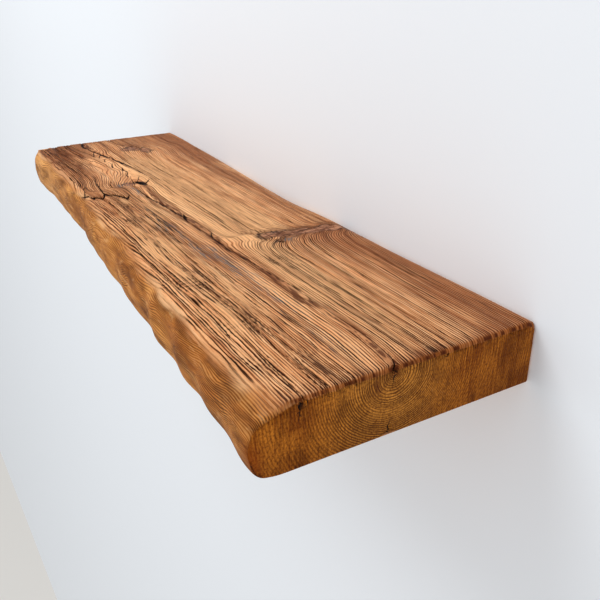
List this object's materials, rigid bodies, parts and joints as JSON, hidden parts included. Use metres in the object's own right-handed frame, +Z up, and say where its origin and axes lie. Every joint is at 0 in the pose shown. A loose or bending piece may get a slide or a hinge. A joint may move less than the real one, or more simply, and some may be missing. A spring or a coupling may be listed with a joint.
{
  "type": "floating wall shelf",
  "caption": "Floating wall shelf: a thick waney-edged solid wood plank that slides onto round rods of a concealed steel wall bracket with screws and plugs.",
  "frame": {"origin": "on the wall plane, at the middle of the wall plate's back face, which is at half the plank's thickness", "axes": "+X to the right when facing the wall, along the plank; +Y into the wall; +Z up"},
  "size_m": [0.8, 0.3238, 0.06],
  "materials": {
    "softwood": "brushed old softwood, waxed, with a waney edge",
    "bracket_steel": "raw mild steel, welded",
    "zinc_screw": "yellow passivated zinc",
    "nylon_plug": "moulded grey nylon"
  },
  "bodies": {
    "wall_bracket": {"wall_plate": "bracket_steel", "support_rod_1": "bracket_steel", "support_rod_2": "bracket_steel", "support_rod_3": "bracket_steel", "support_rod_4": "bracket_steel", "wall_screw_1": "zinc_screw", "wall_screw_2": "zinc_screw", "wall_screw_3": "zinc_screw", "wall_screw_4": "zinc_screw", "wall_screw_5": "zinc_screw", "wall_screw_6": "zinc_screw", "wall_screw_7": "zinc_screw", "wall_screw_8": "zinc_screw", "wall_plug_1": "nylon_plug", "wall_plug_2": "nylon_plug", "wall_plug_3": "nylon_plug", "wall_plug_4": "nylon_plug", "wall_plug_5": "nylon_plug", "wall_plug_6": "nylon_plug", "wall_plug_7": "nylon_plug", "wall_plug_8": "nylon_plug"},
    "shelf": {"plank": "softwood"}
  },
  "joints": [
    {"name": "plank_slide", "type": "slide", "parent": "wall_bracket", "child": "shelf", "axis": [0, -1, 0], "range_m": [0, 0.179]}
  ]
}
